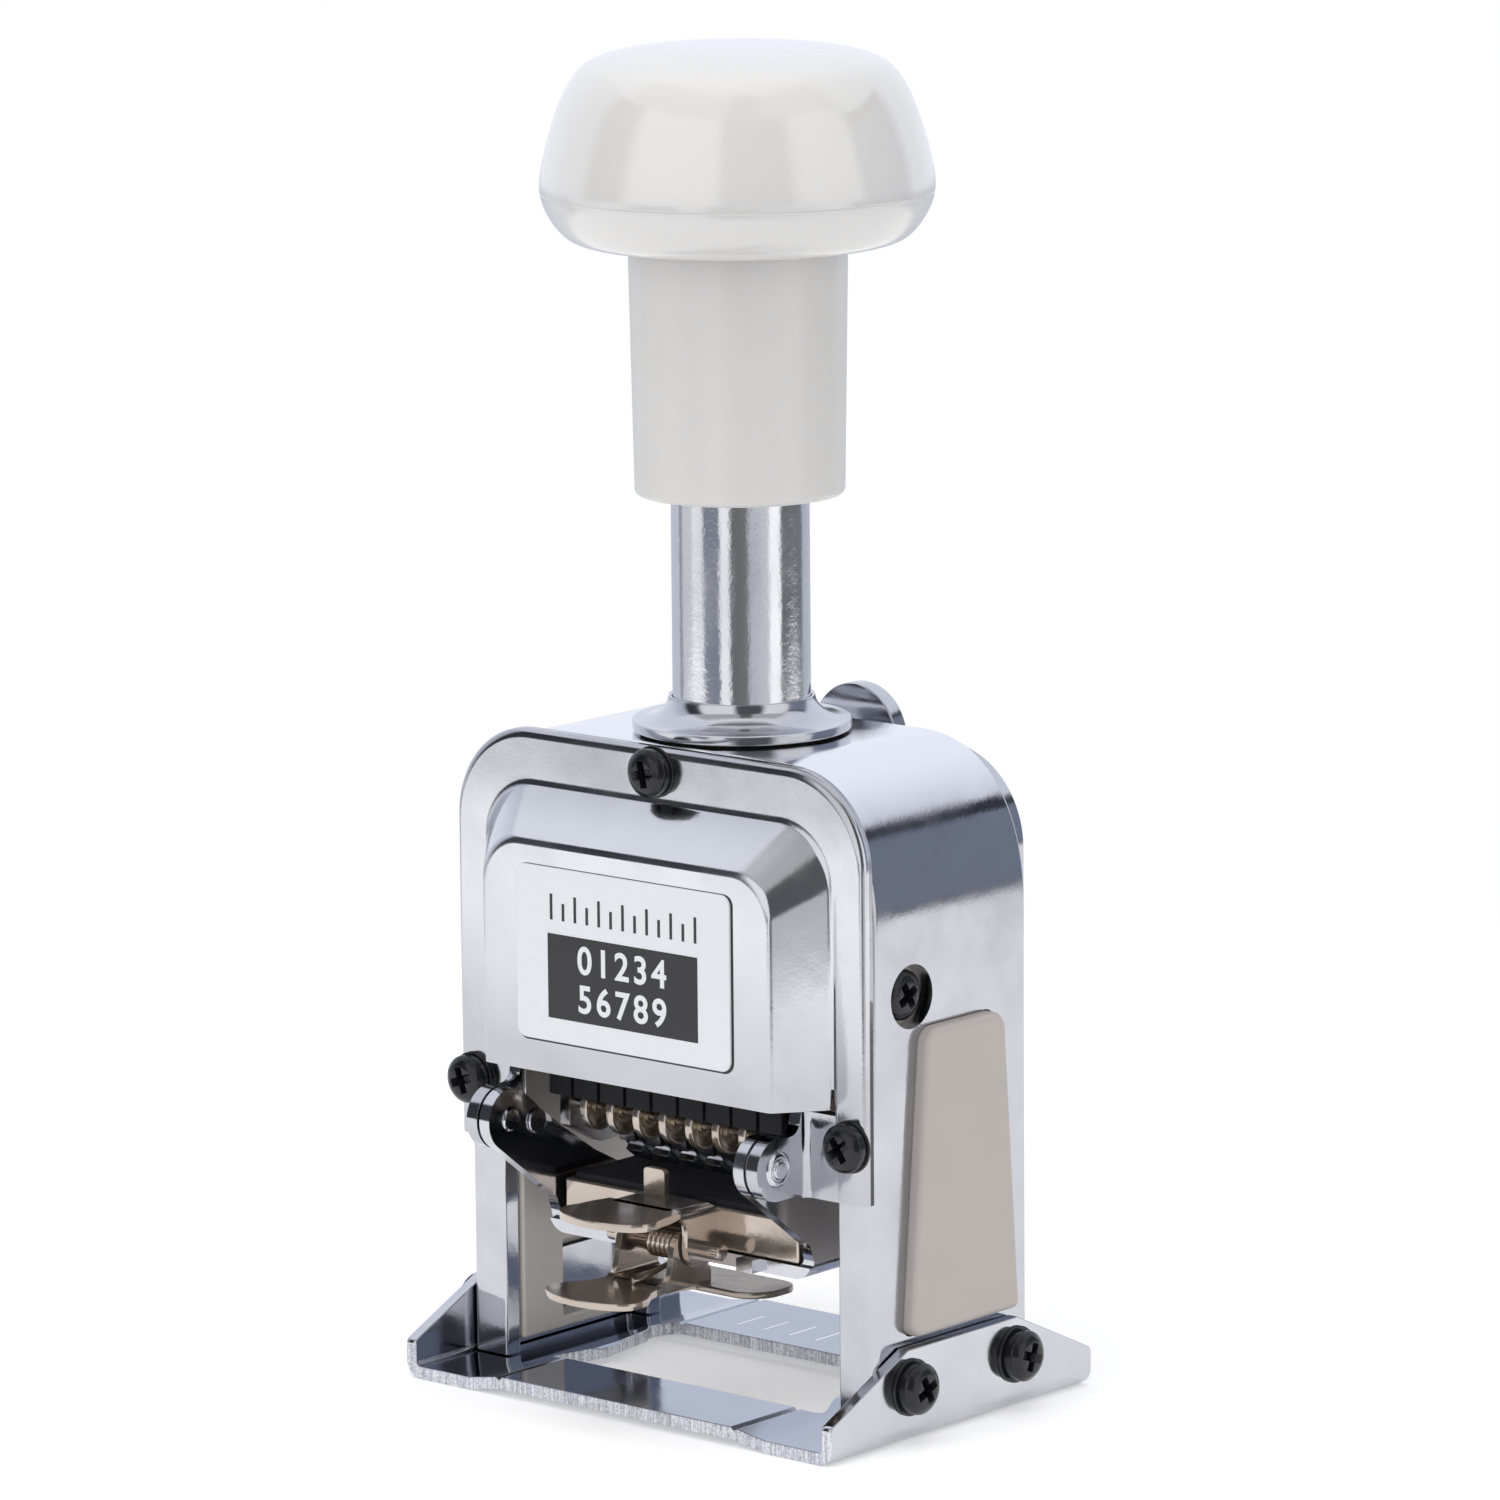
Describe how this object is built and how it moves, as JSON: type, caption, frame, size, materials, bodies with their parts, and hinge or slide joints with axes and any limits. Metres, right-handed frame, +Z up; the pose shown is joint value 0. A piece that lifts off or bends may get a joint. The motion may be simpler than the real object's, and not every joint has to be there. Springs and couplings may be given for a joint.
{
  "type": "numbering machine",
  "caption": "Hand numbering machine: round knob on a sprung steel stem, sheet-metal arch housing, row of figure wheels, swinging ink pad with pinch clip, flat foot.",
  "frame": {"origin": "centre of the plan at the desk, under the foot", "axes": "+Z up along the plunger, -Y to the front with the label and pinch clip, +X to the right seen from the front"},
  "size_m": [0.0694, 0.0534, 0.155],
  "materials": {
    "nickel": "bright nickel plate with fine wear",
    "chrome_stem": "polished chrome",
    "steel": "plain steel",
    "black_oxide": "black oxide",
    "beige_plastic": "satin",
    "ivory_plastic": "gloss, slightly pearly",
    "label_white": "gloss white, blank",
    "brass": "bright",
    "black_rubber": "matt",
    "felt": "inked felt"
  },
  "bodies": {
    "frame": {"foot_plate": "nickel", "foot_screws": "black_oxide", "foot_washers": "black_oxide", "housing_frame": "nickel", "front_cover": "nickel", "front_cover_screws": "black_oxide", "label_plate": "label_white", "rear_cover": "nickel", "rear_cover_screws": "black_oxide", "selector_screw": "black_oxide", "side_guide_left": "beige_plastic", "side_guide_right": "beige_plastic", "side_guide_screws": "black_oxide", "collar": "chrome_stem", "collar_washer": "black_rubber", "collar_nut": "steel", "spring_hanger": "steel", "return_spring_left": "steel", "return_spring_right": "steel", "pivot_pins": "steel", "pivot_washers": "steel"},
    "selector": {"selector_lever": "nickel"},
    "plunger": {"knob_top": "ivory_plastic", "knob_bottom": "ivory_plastic", "knob_screw": "steel", "handle_sleeve": "ivory_plastic", "stem": "chrome_stem", "stem_nut": "steel", "return_buffer": "black_rubber", "carriage_frame": "steel", "wheel_axle": "steel", "axle_clips": "steel", "detent_comb": "black_oxide", "comb_screws": "black_oxide", "detent_rod": "steel", "detent_rollers": "brass", "pawl_rod": "steel", "pawl_spring": "steel"},
    "wheel_1": {"digit_wheel_1": "nickel"},
    "wheel_2": {"digit_wheel_2": "nickel"},
    "wheel_3": {"digit_wheel_3": "nickel"},
    "wheel_4": {"digit_wheel_4": "nickel"},
    "wheel_5": {"digit_wheel_5": "nickel"},
    "wheel_6": {"digit_wheel_6": "nickel"},
    "wheel_7": {"digit_wheel_7": "nickel"},
    "pawls": {"pawl_bar": "steel"},
    "pad": {"pad_holder": "nickel", "cam_rivets": "nickel", "pad_tray": "nickel", "ink_pad": "felt", "clip_pin": "steel", "clip_spring": "steel"},
    "pinch_lever": {"clip_lever": "nickel"}
  },
  "joints": [
    {"name": "plunger_slide", "type": "slide", "parent": "frame", "child": "plunger", "axis": [0, 0, -1], "range_m": [0, 0.024], "stiffness_N_per_m": 350, "springref_m": -0.02, "deforming": ["return_spring_left", "return_spring_right"]},
    {"name": "pad_swing", "type": "hinge", "parent": "frame", "child": "pad", "pos_m": [0, -0.01665, 0.032], "axis": [-1, 0, 0], "range_deg": [0, 88]},
    {"name": "clip_pinch", "type": "hinge", "parent": "pad", "child": "pinch_lever", "pos_m": [0, -0.01065, 0.0192], "axis": [-1, 0, 0], "range_deg": [0, 22], "stiffness_Nm_per_rad": 0.05, "springref_deg": -28.65},
    {"name": "selector_pivot", "type": "hinge", "parent": "frame", "child": "selector", "pos_m": [0, 0.02185, 0.058], "axis": [0, 1, 0], "range_deg": [-20, 5]},
    {"name": "pawl_feed", "type": "hinge", "parent": "plunger", "child": "pawls", "pos_m": [0, 0.01075, 0.0386], "axis": [1, 0, 0], "range_deg": [0, 14]},
    {"name": "wheel_1_spin", "type": "hinge", "parent": "plunger", "child": "wheel_1", "pos_m": [-0.012, 0.00225, 0.0309], "axis": [1, 0, 0], "continuous": true},
    {"name": "wheel_2_spin", "type": "hinge", "parent": "plunger", "child": "wheel_2", "pos_m": [-0.008, 0.00225, 0.0309], "axis": [1, 0, 0], "continuous": true},
    {"name": "wheel_3_spin", "type": "hinge", "parent": "plunger", "child": "wheel_3", "pos_m": [-0.004, 0.00225, 0.0309], "axis": [1, 0, 0], "continuous": true},
    {"name": "wheel_4_spin", "type": "hinge", "parent": "plunger", "child": "wheel_4", "pos_m": [0, 0.00225, 0.0309], "axis": [1, 0, 0], "continuous": true},
    {"name": "wheel_5_spin", "type": "hinge", "parent": "plunger", "child": "wheel_5", "pos_m": [0.004, 0.00225, 0.0309], "axis": [1, 0, 0], "continuous": true},
    {"name": "wheel_6_spin", "type": "hinge", "parent": "plunger", "child": "wheel_6", "pos_m": [0.008, 0.00225, 0.0309], "axis": [1, 0, 0], "continuous": true},
    {"name": "wheel_7_spin", "type": "hinge", "parent": "plunger", "child": "wheel_7", "pos_m": [0.012, 0.00225, 0.0309], "axis": [1, 0, 0], "continuous": true}
  ],
  "couplings": [
    {"joint": "pad_swing", "follows": "plunger_slide", "rad_per_m": 63.9},
    {"joint": "pawl_feed", "follows": "plunger_slide", "rad_per_m": 10.15}
  ]
}
